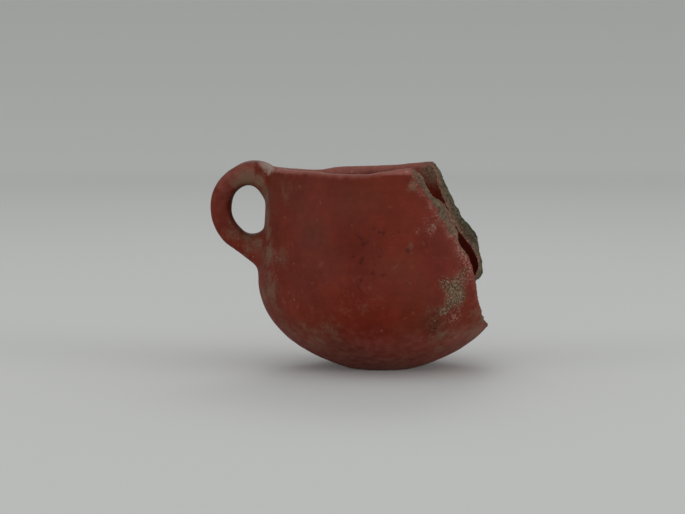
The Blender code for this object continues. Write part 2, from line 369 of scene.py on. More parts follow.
OUTSIDE = outside_curve()
OUTWARD = np.gradient(OUTSIDE, axis=0)[:, ::-1] * (1, -1)
OUTWARD /= np.linalg.norm(OUTWARD, axis=1)[:, None]


def wall_at(height):
    """Thickness of the wall at a height."""
    return np.interp(height, (0, BELLY_HEIGHT, RIM_HEIGHT), (BASE_WALL, BELLY_WALL, RIM_WALL))


def bowl_profile():
    """Outline of the wall's section, from the middle of the base round the lip to the inside's middle."""
    groove = GROOVE_DEPTH * np.exp(-((OUTSIDE[:, 1] - RIM_HEIGHT + GROOVE_DROP) / GROOVE_WIDTH) ** 2)
    outside = OUTSIDE - OUTWARD * groove[:, None]
    inside = OUTSIDE - OUTWARD * wall_at(OUTSIDE[:, 1])[:, None]
    centre = np.array((RIM_RADIUS - RIM_WALL / 2, RIM_HEIGHT - RIM_WALL / 2))
    turns = np.linspace(0, math.pi, 14)[1:-1]
    lip = centre + RIM_WALL / 2 * np.column_stack((np.cos(turns), np.sin(turns)))
    section = np.vstack(((0, 0), outside, lip, inside[::-1], (0, BASE_WALL)))
    return [(radius, 0, height) for radius, height in section]


def handle_path():
    """Middle line of the handle in the XZ plane, from inside the rim's wall to inside the shoulder's."""
    top = Vector((RIM_WALL / 2 - RIM_RADIUS, RIM_HEIGHT - HANDLE_TOP_DROP))
    apex = Vector((HANDLE_THICKNESS / 2 - HANDLE_REACH - RIM_RADIUS, RIM_HEIGHT - HANDLE_APEX_DROP))
    foot_radius = np.interp(HANDLE_FOOT_HEIGHT, OUTSIDE[:, 1], OUTSIDE[:, 0])
    foot = Vector((wall_at(HANDLE_FOOT_HEIGHT) / 2 - foot_radius, HANDLE_FOOT_HEIGHT))
    leave_top = top + HANDLE_TOP_CURVE * direction(180 - HANDLE_TOP_RISE)
    leave_foot = foot + HANDLE_FOOT_CURVE * direction(180 - HANDLE_FOOT_RISE)
    above = apex + Vector((0, HANDLE_APEX_CURVE_ABOVE))
    below = apex - Vector((0, HANDLE_APEX_CURVE_BELOW))
    path = cubic(top, leave_top, above, apex, 40) + cubic(apex, below, leave_foot, foot, 40)[1:]
    return [(point.x, 0, point.y) for point in path]


# Geometry Nodes: the turned bowl, the rolled handle and the scattered grit

def lumps(add, given, place, detail, middle):
    """Slow unevenness of hand-shaped clay, as a height that swings about nothing."""
    scale = add(MATH, (1.0, given["Lump Size"]), operation='DIVIDE')
    lump = add(NOISE, {"Vector": place, "Scale": scale, "Detail": detail})
    lump = add(MATH, (lump, middle), operation='SUBTRACT')
    return add(MATH, (lump, given["Lump Height"]), operation='MULTIPLY')


def bowl_tree(sizes):
    """A section swept once round the axis, with the rim's wavy line and the slow lumps of hand building."""
    tree, add, given = new_tree("turned_bowl", sizes)
    section = add('GeometryNodeMeshToCurve', {"Mesh": given["Geometry"]})
    sheet = add('GeometryNodeMeshGrid', {
        "Size X": 1.0, "Size Y": 1.0, "Vertices X": given["Sides"], "Vertices Y": given["Steps"]})
    flat = add('ShaderNodeSeparateXYZ', (add('GeometryNodeInputPosition'),)).node
    along = add(MATH, (flat.outputs["Y"], 0.5), operation='ADD')
    turn = add(MATH, (flat.outputs["X"], math.tau), operation='MULTIPLY')
    place = add('GeometryNodeSampleCurve', {"Curves": section, "Factor": along}, out="Position",
                mode='FACTOR', use_all_curves=True)
    place = add('ShaderNodeSeparateXYZ', (place,)).node
    radius, height = place.outputs["X"], place.outputs["Z"]
    cosine = add(MATH, (turn,), operation='COSINE')
    sine = add(MATH, (turn,), operation='SINE')
    round_way = add('ShaderNodeCombineXYZ', (cosine, sine))

    # The lip follows the rim's wavy line, and the wall below the belly stays
    upper = add('ShaderNodeMapRange', (height, given["Belly Height"], given["Rim Height"]),
                interpolation_type='SMOOTHSTEP')
    share = add(MATH, (flat.outputs["X"], 1.0), operation='ADD')
    share = add(MATH, (share,), operation='FRACT')
    waver = add('ShaderNodeFloatCurve', {"Value": share}).node
    line = waver.mapping.curves[0]
    rows = [(-angle / 360 % 1, (level * MM - RIM_LOW) / RIM_SPAN) for angle, level in RIM_LINE]
    for turned, level in rows[1:]:
        line.points.new(turned, level)
    line.points[0].location = rows[0]
    line.points[-1].location = (1, rows[0][1])
    waver.mapping.update()
    rise = add(MATH, (waver.outputs[0], given["Rim Span"], given["Rim Low"]), operation='MULTIPLY_ADD')
    rise = add(MATH, (rise, given["Rim Height"]), operation='SUBTRACT')
    lifted = add(MATH, (rise, upper, height), operation='MULTIPLY_ADD')

    # Lumps push both faces of the wall the same way, so the wall keeps its thickness
    out_place = add(VECTOR_MATH, {0: round_way, "Scale": radius}, operation='SCALE')
    up_place = add('ShaderNodeCombineXYZ', {2: lifted})
    place = add(VECTOR_MATH, (out_place, up_place), operation='ADD')
    lump = lumps(add, given, place, 1.5, 0.50)
    room = add('ShaderNodeMapRange', (radius, *LUMP_FREE))
    lump = add(MATH, (lump, room), operation='MULTIPLY')
    push = add(VECTOR_MATH, {0: round_way, "Scale": lump}, operation='SCALE')

    shaped = add('GeometryNodeSetPosition', {"Geometry": sheet, "Position": place, "Offset": push})
    closed = add('GeometryNodeMergeByDistance', {"Geometry": shaped, "Distance": MERGE})
    end_tree(add, closed, given["Clay"])
    return tree


def handle_tree(sizes):
    """An uneven oval roll of clay along a bent path, with thick ends that are smeared out along the wall."""
    tree, add, given = new_tree("rolled_handle", sizes)
    path = add('GeometryNodeMeshToCurve', {"Mesh": given["Geometry"]})
    path = add('GeometryNodeResampleCurve', {"Curve": path, "Count": given["Steps"]}, mode='COUNT')
    from_top = add('GeometryNodeSplineParameter', out="Length")
    from_foot = add('GeometryNodeSplineLength')
    from_foot = add(MATH, (from_foot, from_top), operation='SUBTRACT')
    for end, away in (("Upper", from_top), ("Lower", from_foot)):
        near = add('ShaderNodeMapRange', (away, given["Smear Hold"], given[f"{end} Length"], 1.0, 0.0))
        path = add('GeometryNodeStoreNamedAttribute', {"Geometry": path, "Name": end, "Value": near},
                   data_type='FLOAT', domain='POINT')
    share = add('GeometryNodeSplineParameter', out="Factor")
    share = add(MATH, (share, 2.0, -1.0), operation='MULTIPLY_ADD')
    share = add(MATH, (share, share), operation='MULTIPLY')
    size = add(MATH, (share, given["Swell"], 1.0), operation='MULTIPLY_ADD')
    path = add('GeometryNodeSetCurveRadius', {"Curve": path, "Radius": size})
    oval = add('GeometryNodeCurvePrimitiveCircle', {"Resolution": given["Sides"], "Radius": 1.0})

    # The oval is pushed out towards a box with round corners
    square = 0.0
    around = add(VECTOR_MATH, (add('GeometryNodeInputPosition'),), operation='ABSOLUTE')
    around = add('ShaderNodeSeparateXYZ', (around,)).node
    for side in ("X", "Y"):
        part = add(MATH, (around.outputs[side], given["Squareness"]), operation='POWER')
        square = add(MATH, (square, part), operation='ADD')
    root = add(MATH, (-1.0, given["Squareness"]), operation='DIVIDE')
    square = add(MATH, (square, root), operation='POWER')
    square = add(MATH, (square, 0.5), operation='MULTIPLY')
    outline = add(VECTOR_MATH, {0: add('GeometryNodeInputPosition'), "Scale": square}, operation='SCALE')
    oval = add('GeometryNodeSetPosition', {"Geometry": oval, "Position": outline})
    across = add('ShaderNodeCombineXYZ', (given["Width"], given["Thickness"], 1.0))
    oval = add('GeometryNodeTransform', {"Geometry": oval, "Scale": across})
    roll = add('GeometryNodeCurveToMesh', {"Curve": path, "Profile Curve": oval, "Fill Caps": True})
    place = add('GeometryNodeInputPosition')
    lump = lumps(add, given, place, 1.0, 0.55)
    normal = add('GeometryNodeInputNormal')
    push = add(VECTOR_MATH, {0: normal, "Scale": lump}, operation='SCALE')

    # The smear runs along the wall: upright and sideways, but not away from it
    inward = add(VECTOR_MATH, (given["Loop Centre"], place), operation='SUBTRACT')
    inward = add(VECTOR_MATH, (inward,), operation='NORMALIZE')
    facing = add(VECTOR_MATH, (normal, inward), out="Value", operation='DOT_PRODUCT')
    square = add(MATH, (facing, facing), operation='MULTIPLY')
    is_under = add(MATH, (facing, 0.0), operation='GREATER_THAN')
    under = add(MATH, (square, is_under), operation='MULTIPLY')
    over = add(MATH, (square, under), operation='SUBTRACT')
    aside = add(MATH, (1.0, square), operation='SUBTRACT')
    radial = add(VECTOR_MATH, (place, (1.0, 1.0, 0.0)), operation='MULTIPLY')
    radial = add(VECTOR_MATH, (radial,), operation='NORMALIZE')
    away = add(VECTOR_MATH, (normal, radial), operation='PROJECT')
    along = add(VECTOR_MATH, (normal, away), operation='SUBTRACT')
    for end in ("Upper", "Lower"):
        near = add('GeometryNodeInputNamedAttribute', {"Name": end}, data_type='FLOAT')
        reach = add('ShaderNodeSeparateXYZ', (given[f"{end} Smear"],)).node
        fall = add('ShaderNodeSeparateXYZ', (given[f"{end} Fall"],)).node
        for i, side in enumerate((over, under, aside)):
            spread = add(MATH, (near, fall.outputs[i]), operation='POWER')
            spread = add(MATH, (spread, reach.outputs[i]), operation='MULTIPLY')
            spread = add(MATH, (spread, side), operation='MULTIPLY')
            smear = add(VECTOR_MATH, {0: along, "Scale": spread}, operation='SCALE')
            push = add(VECTOR_MATH, (push, smear), operation='ADD')
    roll = add('GeometryNodeSetPosition', {"Geometry": roll, "Offset": push})
    closed = add('GeometryNodeMergeByDistance', {"Geometry": roll, "Distance": MERGE})
    end_tree(add, closed, given["Clay"])
    return tree


def grit_tree(sizes):
    """Small angular grains half sunk in a surface, more where its own field asks for more."""
    tree, add, given = new_tree("scattered_grit", sizes)
    amount = add('GeometryNodeInputNamedAttribute', {"Name": given["Field"]}, data_type='FLOAT')
    amount = add(MATH, (amount, given["Density"]), operation='MULTIPLY')
    spots = add('GeometryNodeDistributePointsOnFaces', {
        "Mesh": given["Geometry"], "Density": amount, "Seed": given["Seed"]}, distribute_method='RANDOM')
    grain = add('GeometryNodeMeshIcoSphere', {"Radius": 1.0, "Subdivisions": 1})
    size = add('FunctionNodeRandomValue', {2: given["Smallest"], 3: given["Largest"], 8: given["Seed"]},
               out=1, data_type='FLOAT')
    uneven = add('FunctionNodeRandomValue', {0: (0.55, 0.7, 0.5), 1: (1.25, 1.0, 0.9), 8: given["Seed"]},
                 data_type='FLOAT_VECTOR')
    grown_by = add(VECTOR_MATH, {0: uneven, "Scale": size}, operation='SCALE')
    turn = add('FunctionNodeRandomValue', {0: (0, 0, 0), 1: (math.tau,) * 3, 8: given["Seed"]},
               data_type='FLOAT_VECTOR')
    grains = add('GeometryNodeInstanceOnPoints', {
        "Points": spots, "Instance": grain, "Rotation": turn, "Scale": grown_by})
    tone = add('FunctionNodeRandomValue', {2: 0.0, 3: 1.0, 8: given["Seed"]}, out=1, data_type='FLOAT')
    grains = add('GeometryNodeStoreNamedAttribute', {"Geometry": grains, "Name": "tone", "Value": tone},
                 data_type='FLOAT', domain='INSTANCE')
    end_tree(add, grains, given["Grit"])
    return tree


# Materials

def new_material(name):
    """Node material; returns it, its own node function, Object coordinates and its shader."""
    material = bpy.data.materials.new(name)
    material.use_nodes = True
    tree = material.node_tree
    add = partial(node, tree)
    return material, add, add('ShaderNodeTexCoord', out="Object"), tree.nodes["Principled BSDF"]


# Wear fields, and fields of painted highlights, light and shade, that the slip reads from the cup's vertices
SLIP_FIELDS = ("loss", "soil", "chalk", "speckle", "brown", "stain", "rub", "inside")

# Noise patterns of the slip: size in mm, and detail
SLIP_PATTERNS = {
    "drift": (13, 4.0), "cloud": (21, 5.0), "grain": (0.8, 3.0), "patchy": (2.4, 4.0), "ragged": (1.2, 3.0),
    "rare": (2.6, 2.0), "broad": (6.0, 2.0), "fleece": (0.62, 2.0), "crumb": (0.6, 4.0),
}

# Sums of patterns and fields: a start, and the weight of each
SLIP_SUMS = {
    "light": (0.57, {"streak": 0.20, "grain": 0.26, "patchy": 0.40}),
    "rubbed_and_highlit": (-0.18, {"patchy": 0.36, "rub": 1.0}),
    "stained": (-0.75, {"ragged": 1.5, "stain": 1.0}),
    "film": (0.0, {"soil": 1.0, "patchy": 0.6, "broad": 0.7, "grain": 0.7}),
    "chalky": (-0.8, {"patchy": 0.9, "grain": 0.7, "chalk": 1.0}),
    "bare": (-0.8, {"crumb": 1.6, "loss": 1.0}),
    # Painted light: the inside a little lighter, where the wall shades it
    "shade": (1.0, {"inside": 0.06}),
}

# Soft thresholds of sums, patterns and cells: from, to, least and most
SLIP_RANGES = {
    "cloud": (0.48, 0.72, 0.0, 0.6), "rubbed_and_highlit": (0.25, 0.85, 0.0, 0.85), "stained": (0.40, 0.74, 0.0, 0.72),
    "near": (0.15, 0.06, 0.0, 1.0), "pick": (0.82, 1.0, 0.0, 0.45), "web": (0.026, 0.004, 0.0, 1.0),
    "rare": (0.56, 0.76, 0.0, 0.22), "film": (1.20, 1.95, 0.0, 0.85), "chalky": (0.3, 0.85, 0.0, 0.85),
    "fleece": (0.49, 0.62, 0.02, 0.8), "bare": (0.38, 0.62, 0.0, 1.0),
}
SMOOTH_RANGES = ("rubbed_and_highlit", "film", "chalky")

# Marks that show only where two others meet
SLIP_PRODUCTS = (("fleck", "near", "pick"), ("scratch", "web", "rare"), ("scales", "fleece", "speckle"))

# What lies on the coat, from below: pinkish where hands and soil have rubbed it thin and where highlights and
# light are painted, dark pits and stains, pale flecks of temper, hair-fine scratches, olive soil, whitish
# worn clay, and scales where the coat flakes
SLIP_LAYERS = (
    ("rubbed_and_highlit", "#7c4e46"), ("stained", "#360f08"), ("fleck", "#8c6f5d"), ("scratch", "#84584c"),
    ("film", "#5b4738"), ("chalky", "#7d6c62"), ("scales", "#86645a"),
)


def slip_material():
    """Burnished red slip: an iron-rich coat rubbed smooth by hand. It gives the eye a deep, slightly silky
    red that drifts in tone, faint level rubbing marks, dark stains, pale flecks, and bare sandy clay where it
    is lost."""
    material, add, place, shader = new_material("burnished_red_slip")
    mark = {name: add('ShaderNodeAttribute', out="Fac", attribute_name=name) for name in SLIP_FIELDS}
    for name, (size, detail) in SLIP_PATTERNS.items():
        mark[name] = add(NOISE, {"Vector": place, "Scale": per_mm(size), "Detail": detail})
    level = add('ShaderNodeMapping', {0: place, "Scale": (per_mm(24), per_mm(24), per_mm(1.9))})
    mark["streak"] = add(NOISE, {"Vector": level, "Scale": 1.0, "Detail": 3.0})
    for name, (total, weights) in SLIP_SUMS.items():
        for part, weight in weights.items():
            total = add(MATH, (mark[part], weight, total), operation='MULTIPLY_ADD')
        mark[name] = total

    # Cells for flecks and scratches wander a little, so that none has a straight edge
    wander = add(NOISE, {"Vector": place, "Scale": per_mm(0.9), "Detail": 1.0}, out="Color")
    wander = add(VECTOR_MATH, {0: wander, "Scale": 0.9 * MM}, operation='SCALE')
    wander = add(VECTOR_MATH, (wander, place), operation='ADD')
    cells = add('ShaderNodeTexVoronoi', {"Vector": wander, "Scale": per_mm(2.9)}).node
    mark["near"] = cells.outputs["Distance"]
    mark["pick"] = add('ShaderNodeSeparateColor', (cells.outputs["Color"],))
    mark["web"] = add('ShaderNodeTexVoronoi', {"Vector": wander, "Scale": per_mm(9)},
                      feature='DISTANCE_TO_EDGE')
    for name, (low, high, least, most) in SLIP_RANGES.items():
        way = 'SMOOTHSTEP' if name in SMOOTH_RANGES else 'LINEAR'
        mark[name] = add('ShaderNodeMapRange', (mark[name], low, high, least, most), interpolation_type=way)
    for name, one, other in SLIP_PRODUCTS:
        mark[name] = add(MATH, (mark[one], mark[other]), operation='MULTIPLY')

    # Drifting red, browner in clouds and where it was fired so, and darker high on the outside as painted
    # shade, with level burnish marks and fine grain
    colour = add('ShaderNodeValToRGB', (mark["drift"],), stops=((0.32, "#4b150b"), (0.70, "#5c1f13")))
    for name, code in (("cloud", "#53261a"), ("brown", "#472014")):
        colour = add('ShaderNodeMix', {0: mark[name], 6: colour, 7: linear(code)}, out=2, data_type='RGBA')
    colour = add('ShaderNodeHueSaturation', {"Color": colour, "Value": mark["light"]})
    for name, code in SLIP_LAYERS:
        colour = add('ShaderNodeMix', {0: mark[name], 6: colour, 7: linear(code)}, out=2, data_type='RGBA')

    # Sandy bare clay, in grains of many tones
    sand = add('ShaderNodeTexVoronoi', {"Vector": place, "Scale": per_mm(0.40)}, out="Color")
    sand = add('ShaderNodeSeparateColor', (sand,))
    sandy = add('ShaderNodeValToRGB', (sand,), stops=((0.15, "#372a1f"), (0.95, "#705f4e")))
    colour = add('ShaderNodeMix', {0: mark["bare"], 6: colour, 7: sandy}, out=2, data_type='RGBA')
    # Painted light on the inside
    colour = add('ShaderNodeHueSaturation', {"Color": colour, "Value": mark["shade"]})

    # Silky where burnished, matt where worn
    matt = 0.44
    for name, weight in (("grain", 0.24), ("film", 0.25), ("bare", 0.35)):
        matt = add(MATH, (mark[name], weight, matt), operation='MULTIPLY_ADD', use_clamp=True)

    # Relief in millimetres: shallow dents, grain, rubbing marks, lost slip and the sand under it
    relief = 0.0
    rough = add(MATH, (sand, 0.22, -0.16), operation='MULTIPLY_ADD')
    for name, height in (("patchy", 0.10), ("grain", 0.05), ("streak", 0.04), ("bare", rough)):
        relief = add(MATH, (mark[name], height, relief), operation='MULTIPLY_ADD')
    bump = add('ShaderNodeBump', {"Height": relief, "Strength": 1.0, "Distance": MM})
    fill(shader, {"Base Color": colour, "Roughness": matt, "Specular IOR Level": 0.06, "Normal": bump})
    return material


def core_material():
    """Fired sandy clay, broken open: coarse and quite matt, grey-olive towards the outside, pinker towards
    the inside, and salted with pale and dark temper."""
    material, add, place, shader = new_material("broken_sandy_clay")
    depth, film = [add('ShaderNodeAttribute', out="Fac", attribute_name=name) for name in ("depth", "soil")]
    waver, fine, clot = [
        add(NOISE, {"Vector": place, "Scale": per_mm(size), "Detail": detail})
        for size, detail in ((2.5, 3.0), (0.5, 4.0), (1.4, 2.0))]
    zone = add(MATH, (waver, 0.5, -0.25), operation='MULTIPLY_ADD')
    zone = add(MATH, (zone, depth), operation='ADD')
    zone = add('ShaderNodeValToRGB', (zone,), stops=((0.10, "#544334"), (0.55, "#584435"), (0.85, "#694b3e")))
    grit = add('ShaderNodeTexVoronoi', {"Vector": place, "Scale": per_mm(0.7)}, out="Color")
    grit = add('ShaderNodeSeparateColor', (grit,))
    light = -0.37
    for part, weight in ((grit, 0.85), (fine, 0.5), (clot, 1.1)):
        light = add(MATH, (part, weight, light), operation='MULTIPLY_ADD')
    colour = add('ShaderNodeMix', {0: film, 6: zone, 7: linear("#4a4a3a")}, out=2, data_type='RGBA')
    colour = add('ShaderNodeHueSaturation', {"Color": colour, "Value": light})
    relief = add(MATH, (grit, 0.16), operation='MULTIPLY')
    relief = add(MATH, (fine, 0.22, relief), operation='MULTIPLY_ADD')
    bump = add('ShaderNodeBump', {"Height": relief, "Strength": 1.0, "Distance": MM})
    fill(shader, {"Base Color": colour, "Roughness": 0.9, "Specular IOR Level": 0.2, "Normal": bump})
    return material


def grit_material():
    """Loose sand: each grain has its own tone between a dark and a pale one, and none shines."""
    material, add, place, shader = new_material("sand_temper")
    tone = add('ShaderNodeAttribute', out="Fac", attribute_name="tone")
    tone = add('ShaderNodeValToRGB', (tone,), stops=((0.1, "#38291d"), (1.0, "#6c5a47")))
    dust = add(NOISE, {"Vector": place, "Scale": per_mm(0.4), "Detail": 2.0})
    dust = add(MATH, (dust, 0.5, 0.75), operation='MULTIPLY_ADD')
    colour = add('ShaderNodeHueSaturation', {"Color": tone, "Value": dust})
    fill(shader, {"Base Color": colour, "Roughness": 0.92, "Specular IOR Level": 0.2})
    return material


# The cup as one fired mass: bowl, handle and lutings flow together, then the lost side is broken out

def fused(name, meshes):
    """One closed skin round several overlapping meshes."""
    bm = bmesh.new()
    for mesh in meshes:
        bm.from_mesh(mesh)
    joined = bpy.data.meshes.new(name)
    bm.to_mesh(joined)
    bm.free()
    item = add_object(name, joined)
    skin = item.modifiers.new("one skin", 'REMESH')
    skin.mode = 'VOXEL'
    skin.voxel_size = VOXEL
    skin.adaptivity = 0.0
    mesh = finished_mesh(item)
    discard(item)
    return mesh


def relax(points, edges, share):
    """Points moved a share of the way to the middle of their neighbours."""
    total = np.zeros_like(points)
    for axis in range(3):
        total[:, axis] += np.bincount(edges[:, 0], points[edges[:, 1], axis], len(points))
        total[:, axis] += np.bincount(edges[:, 1], points[edges[:, 0], axis], len(points))
    count = np.bincount(edges.ravel(), minlength=len(points))
    return points + share * (total / count[:, None] - points)


def smooth_skin(mesh):
    """Take the voxel steps out of the skin and round the hollows where the handle meets the bowl."""
    points = coordinates(mesh)
    edges = np.empty(len(mesh.edges) * 2, dtype=np.int32)
    mesh.edges.foreach_get("vertices", edges)
    edges = edges.reshape(-1, 2)
    for push in SKIN_PUSHES * SKIN_PASSES:
        points = relax(points, edges, push)
    for centre, reach, passes in SMOOTHED_JOINTS:
        gap = np.linalg.norm(points - np.array(centre), axis=1)
        near = 1 - smoothstep(SMOOTHED_CORE * reach, reach, gap)
        for _ in range(passes):
            points = relax(points, edges, SMOOTHED_SHARE * near[:, None])
    set_coordinates(mesh, points)


def roughness(point, sizes):
    """Noise displacement of a point, as a sum of (pattern size, height) pairs."""
    move = Vector()
    for size, height in sizes:
        move += height * Vector([noise.noise(point / size + place) for place in ROUGHNESS_PLACES])
    return move


def break_heights():
    """Row heights that sample both broken edges at an even step, also where they run nearly level."""
    heights = [FRONT_BREAK[0][0]]
    top = RIM_HEIGHT + RIM_RISE + CUTTER_MARGIN
    while heights[-1] < top:
        here = heights[-1]
        run = 0.0
        for corners in (FRONT_BREAK, BACK_BREAK):
            table = np.array(corners)
            turn = np.interp((here, here + BREAK_SLOPE_RISE), table[:, 0], table[:, 1])
            run = max(run, math.radians(abs(turn[1] - turn[0])) * WALL_REACH / BREAK_SLOPE_RISE)
        heights.append(here + BREAK_STEP / math.hypot(1, run))
    return heights


def break_cutter(material):
    """Rough-sided block of air that the lost part of the wall leaves, with chips along its outer edge."""
    heights = break_heights()
    shares = np.linspace(*BREAK_SHARES, BREAK_LAYERS)
    tables = [(np.array(FRONT_BREAK), -1), (np.array(BACK_BREAK), 1)]
    bm = bmesh.new()

    def corner(height, depth, turn):
        level = min(height, OUTSIDE[-1, 1])
        radius = np.interp(level, OUTSIDE[:, 1], OUTSIDE[:, 0])
        out = [np.interp(level, OUTSIDE[:, 1], OUTWARD[:, i]) for i in (0, 1)]
        radius -= depth * out[0]
        place = Vector((radius * math.cos(turn), radius * math.sin(turn), height - depth * out[1]))
        return bm.verts.new(place + roughness(place, BREAK_ROUGHNESS))

    def ends(height, share):
        found = []
        for table, sign in tables:
            outer = np.interp(height, table[:, 0], table[:, 1])
            inner = np.interp(height, table[:, 0], table[:, 2])
            chip = noise.noise(Vector((height / BREAK_CHIP_SIZE, sign * BREAK_CHIP_APART, 0)))
            chip = max(chip - BREAK_CHIP_LEAST, 0) * BREAK_CHIP
            chip *= float(1 - smoothstep(*BREAK_CHIP_DEPTH, share))
            hold = BREAK_HOLD * float(smoothstep(*BREAK_HOLD_RISE, height))
            found.append(math.radians(sign * (outer + (inner - outer) * share + chip - hold)))
        return found

    last = BREAK_COLUMNS
    layers = []
    for share in (None, *shares, None):
        rows = []
        for height in heights:
            wall = float(wall_at(height))
            whole = share is None
            if not whole:
                depth = share * wall
                low, high = ends(height, share)
            elif not layers:
                depth = -CUTTER_MARGIN
                low, high = ends(height, shares[0])
            else:
                depth = wall + CUTTER_MARGIN
                low, high = ends(height, shares[-1])
            whole = whole or not rows or height == heights[-1]
            columns = range(last + 1) if whole else (0, last)
            rows.append({c: corner(height, depth, low + (high - low) * c / last) for c in columns})
        layers.append(rows)
    for sheet in (layers[0], layers[-1]):
        for below, above in zip(sheet, sheet[1:]):
            for c in range(last):
                bm.faces.new((below[c], below[c + 1], above[c + 1], above[c]))
    for outer, inner in zip(layers, layers[1:]):
        for r in range(len(heights) - 1):
            for c in (0, last):
                bm.faces.new((outer[r][c], outer[r + 1][c], inner[r + 1][c], inner[r][c]))
        for r in (0, len(heights) - 1):
            for c in range(last):
                bm.faces.new((outer[r][c], outer[r][c + 1], inner[r][c + 1], inner[r][c]))
    bmesh.ops.recalc_face_normals(bm, faces=bm.faces)
    mesh = bpy.data.meshes.new("break_cutter")
    bm.to_mesh(mesh)
    bm.free()
    mesh.materials.append(material)
    return mesh


def broken(mesh, cutter_mesh):
    """The skin with the lost side cut away; the cut faces keep the cutter's material."""
    item = add_object("whole_cup", mesh)
    cutter = add_object("break_cutter", cutter_mesh)
    cut = item.modifiers.new("lost side", 'BOOLEAN')
    cut.operation = 'DIFFERENCE'
    cut.solver = 'MANIFOLD'
    cut.material_mode = 'TRANSFER'
    cut.object = cutter
    result = finished_mesh(item)
    discard(item, cutter)
    return result


# Where the coat is worn: fields on the cup's own vertices

def on_wall(angle, height):
    """Point on the outside of the wall."""
    radius = np.interp(height, OUTSIDE[:, 1], OUTSIDE[:, 0])
    turn = math.radians(angle)
    return radius * math.cos(turn), -radius * math.sin(turn), height


# Angle, height in mm, size in mm, strength
SLIP_LOSS = (
    (56.8, 27.4, 4.4, 0.72), (55.2, 24.2, 3.8, 0.74), (61.0, 28.4, 3.0, 0.6), (52.4, 30.2, 3.0, 0.56),
    (58.6, 22.4, 2.6, 0.62), (62.0, 20.4, 2.2, 0.63), (32.6, 16.4, 1.5, 0.62), (54.7, 19.4, 1.8, 0.36),
    (66.0, 17.3, 2.4, 0.34), (68.5, 20.4, 2.0, 0.28), (49.9, 32.4, 2.2, 0.44), (65.5, 15.4, 1.8, 0.34),
)
STAINS = (
    (97.5, 38.5, 8.0, 0.32), (93.0, 33.0, 6.0, 0.26), (102.0, 43.3, 1.4, 0.62), (100.7, 42.2, 1.0, 0.74),
    (99.3, 40.9, 1.3, 0.82), (91.0, 43.6, 1.5, 0.7), (95.2, 45.3, 2.4, 0.48), (103.7, 37.1, 1.1, 0.7),
    (100.0, 36.2, 1.0, 0.8), (100.4, 35.1, 0.9, 0.84), (91.9, 37.2, 1.1, 0.7), (95.0, 36.6, 0.9, 0.62),
    (105.2, 35.3, 0.9, 0.6), (95.0, 31.9, 1.2, 0.66), (94.5, 30.5, 0.9, 0.72), (90.5, 31.4, 1.3, 0.62),
    (100.2, 30.1, 0.8, 0.74), (115.0, 28.4, 0.9, 0.66), (117.5, 29.2, 1.0, 0.6), (107.4, 27.1, 1.6, 0.46),
    (79.1, 38.6, 1.2, 0.7), (83.6, 44.3, 0.9, 0.62), (61.8, 20.2, 1.3, 0.86), (63.8, 17.2, 1.3, 0.7),
    (64.6, 14.7, 1.4, 0.86), (69.0, 18.6, 1.2, 0.62), (67.2, 16.3, 1.0, 0.7), (65.6, 18.0, 4.2, 0.52),
    (66.0, 20.0, 2.2, 0.62), (68.8, 17.6, 2.0, 0.6), (64.6, 16.0, 1.8, 0.64),
    (118.0, 9.0, 6.0, 0.38), (160.0, 52.0, 5.0, 0.28), (125.0, 20.0, 3.0, 0.26),
)
SOIL = (
    (158.0, 36.0, 4.4, 0.85), (144.0, 35.4, 4.6, 0.5), (153.5, 25.3, 8.0, 0.62), (170.0, 53.0, 4.4, 0.85),
    (167.0, 47.0, 4.0, 0.85), (163.0, 42.0, 3.6, 0.72), (146.0, 56.0, 5.0, 0.42), (34.0, 13.5, 6.5, 0.52),
    (45.0, 12.5, 6.5, 0.5), (50.0, 8.0, 6.0, 0.55), (59.0, 12.9, 5.5, 0.55), (77.9, 39.9, 1.3, 0.6),
    (148.0, 14.0, 6.5, 0.58), (138.0, 8.0, 6.0, 0.5), (122.0, 6.0, 5.5, 0.36), (131.2, 15.4, 3.0, 0.4),
    (66.0, 17.3, 4.6, 0.22), (104.0, 24.0, 7.0, 0.3), (56.5, 25.5, 5.0, 0.8), (61.5, 22.0, 4.0, 0.42),
    (52.0, 37.0, 4.5, 0.3), (42.0, 19.5, 5.0, 0.5), (148.0, 20.0, 6.0, 0.5),
    (24.0, 11.0, 6.0, 0.66), (36.0, 7.5, 6.0, 0.6), (66.5, 21.0, 3.4, 0.34), (76.0, 57.6, 2.0, 0.66),
    (58.0, 44.0, 2.4, 0.6), (63.0, 47.0, 2.0, 0.55),
    (116.0, 14.0, 8.0, 0.4), (130.0, 12.0, 7.0, 0.46), (162.0, 23.0, 6.0, 0.62),
)
CHALK = (
    (167.0, 62.0, 3.0, 1.0), (160.0, 62.4, 2.0, 0.9), (153.0, 62.2, 1.5, 0.7), (67.4, 45.2, 2.2, 0.54),
    (121.5, 52.5, 1.6, 0.42), (79.5, 61.6, 2.0, 0.34),
)
SPECKLE = (
    (52.4, 40.4, 2.2, 0.9), (50.6, 38.0, 2.4, 1.0), (49.0, 35.4, 2.2, 1.0), (47.6, 33.0, 2.2, 0.95),
    (48.6, 30.8, 2.0, 0.8), (56.5, 43.0, 1.6, 0.6), (60.0, 45.4, 1.4, 0.45), (52.0, 30.4, 2.4, 0.6),
    (55.0, 18.6, 2.4, 0.85), (67.8, 44.6, 1.7, 0.6), (70.0, 47.4, 0.9, 0.55), (74.6, 44.4, 0.8, 0.55),
    (76.5, 57.6, 1.0, 0.55), (75.0, 56.8, 0.9, 0.5), (150.5, 35.2, 2.0, 0.4),
    (64.4, 48.6, 1.3, 0.7), (67.6, 51.6, 1.1, 0.6), (71.6, 55.2, 1.2, 0.4), (74.8, 58.4, 1.3, 0.42),
)
